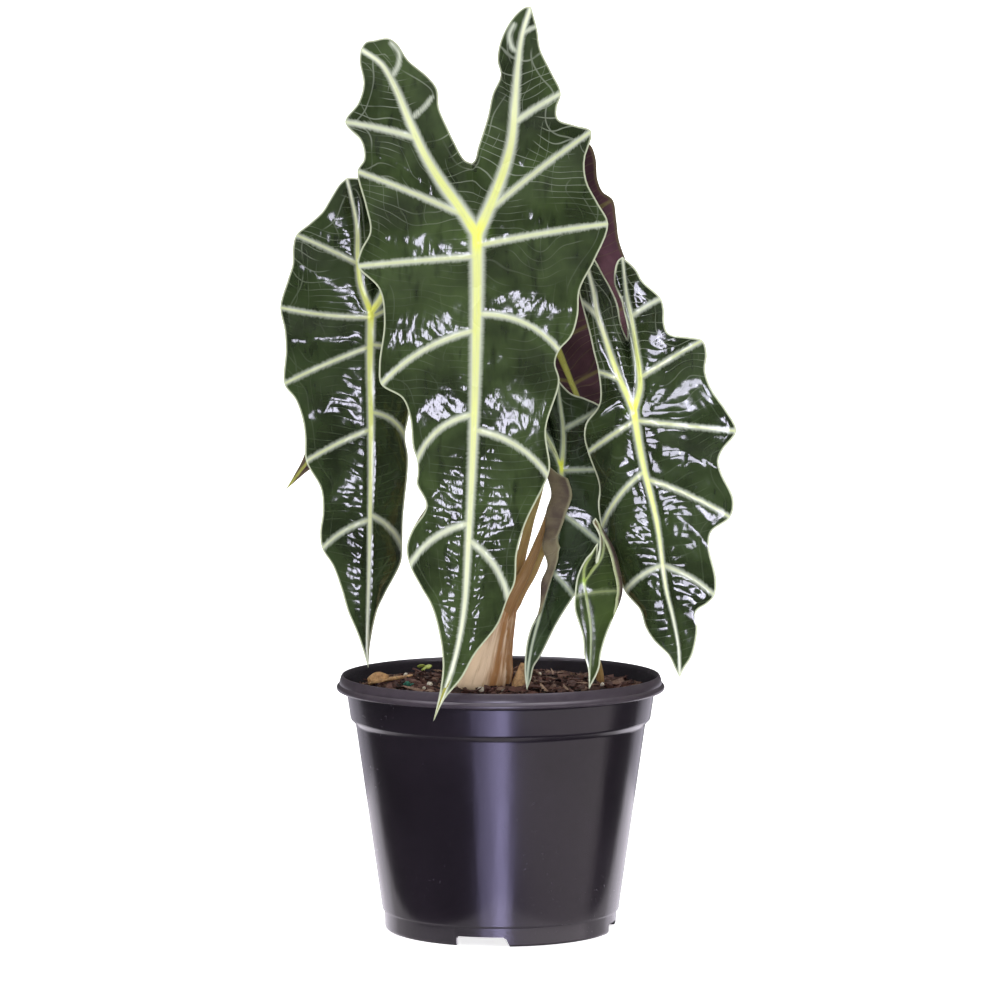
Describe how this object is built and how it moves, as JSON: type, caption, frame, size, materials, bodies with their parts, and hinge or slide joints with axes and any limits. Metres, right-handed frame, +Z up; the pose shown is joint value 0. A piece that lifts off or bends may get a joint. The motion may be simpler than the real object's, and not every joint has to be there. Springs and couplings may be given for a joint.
{
  "type": "potted alocasia plant",
  "caption": "Potted alocasia with large dark arrow-shaped leaves, scalloped edges and pale ribs, on slim stalks in a tapered black nursery pot; a plant to stand on a floor, shelf or table.",
  "frame": {"origin": "on the pot's axis, on the surface that the pot's foot stands on", "axes": "+Z up, -Y the front towards the picture's camera, +X to the right seen from the front"},
  "size_m": [0.2286, 0.177, 0.4617],
  "materials": {
    "pot": "smooth glossy purplish black",
    "soil": "rough dark bark and peat",
    "crown": "dry papery brown sheaths",
    "stalk": "smooth satin olive green",
    "blade": "glossy dark green above with pale ribs, dull purple below",
    "young_blade": "glossy mid green with pale ribs",
    "dry": "dry matt tan",
    "sprout": "soft lime green"
  },
  "bodies": {
    "root": {"pot": "pot", "soil": "soil", "crown": "crown", "petiole_front": "stalk", "petiole_left": "stalk", "petiole_right": "stalk", "petiole_middle": "stalk", "petiole_young": "stalk", "petiole_back": "stalk", "petiole_far_left": "stalk", "blade_front": "blade", "blade_left": "blade", "blade_right": "blade", "blade_middle": "blade", "blade_young": "young_blade", "blade_back": "blade", "blade_far_left": "blade", "old_stalk": "dry", "dry_leaf": "dry", "sprout": "sprout"}
  },
  "joints": []
}
